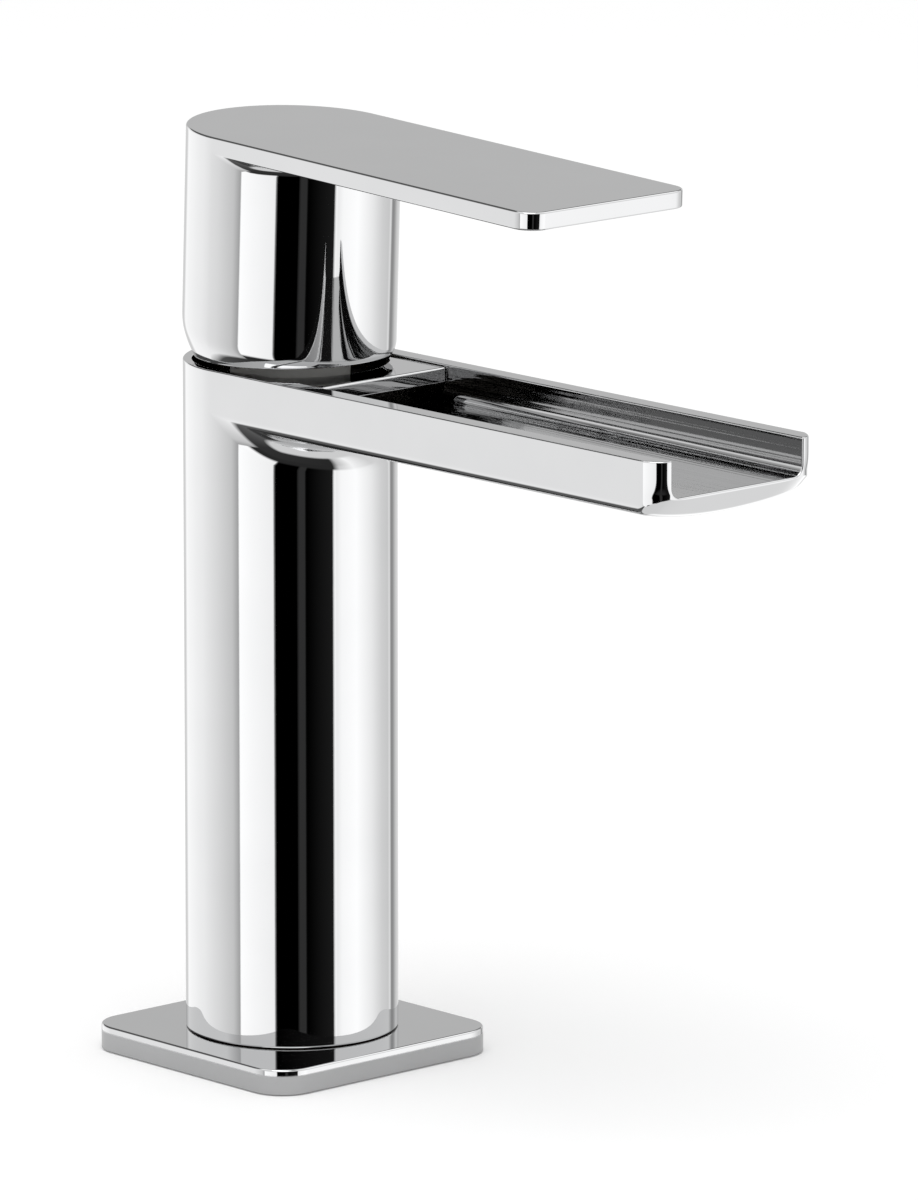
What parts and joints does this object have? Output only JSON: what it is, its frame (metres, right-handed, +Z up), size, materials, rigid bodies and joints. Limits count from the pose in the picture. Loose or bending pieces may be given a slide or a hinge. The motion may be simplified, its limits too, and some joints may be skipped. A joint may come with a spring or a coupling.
{
  "type": "basin tap",
  "caption": "Single-lever basin tap: round column on a square base plate, open trough spout, flat flap lever above it and a ceramic disc cartridge inside.",
  "frame": {"origin": "middle of the base plate's underside, on the axis of the column, where the tap stands on the basin", "axes": "+Z up along the column, -Y along the spout, +X to the right of someone who looks along +Y at the spout's lip"},
  "size_m": [0.055, 0.1479, 0.177],
  "materials": {
    "chrome_body": "polished",
    "chrome_plate": "polished",
    "chrome_deck": "polished",
    "chrome_handle": "polished",
    "brass": "machined",
    "steel": "machined",
    "black_rubber": "matte",
    "pale_plastic": "moulded",
    "grey_plastic": "moulded",
    "ceramic": "lapped"
  },
  "bodies": {
    "stand": {"tap_body": "chrome_body", "base_plate": "chrome_plate", "base_gasket": "black_rubber", "plate_seal": "black_rubber", "spout_deck": "chrome_deck", "deck_seal": "black_rubber", "retaining_nut": "brass", "cartridge_housing": "pale_plastic", "cartridge_base": "grey_plastic", "base_seals": "black_rubber", "disc_seals": "black_rubber", "fixed_disc": "ceramic", "stop_ring": "grey_plastic"},
    "swivel": {"rotor": "pale_plastic", "rotor_glide": "grey_plastic", "pivot_pin": "steel"},
    "lever": {"handle": "chrome_handle", "spindle": "brass", "handle_screw": "steel", "screw_cap": "grey_plastic"},
    "mixing_disc": {"disc_carrier": "grey_plastic", "moving_disc": "ceramic"}
  },
  "joints": [
    {"name": "lever_swing", "type": "hinge", "parent": "stand", "child": "swivel", "pos_m": [0, 0, 0.143], "axis": [0, 0, 1], "range_deg": [-45, 45]},
    {"name": "lever_lift", "type": "hinge", "parent": "swivel", "child": "lever", "pos_m": [0, 0, 0.143], "axis": [-1, 0, 0], "range_deg": [0, 20]},
    {"name": "disc_slide", "type": "slide", "parent": "swivel", "child": "mixing_disc", "axis": [0, 1, 0], "range_m": [-0.0035, 0.0001]}
  ],
  "couplings": [
    {"joint": "disc_slide", "follows": "lever_lift", "m_per_rad": -0.0098563}
  ]
}
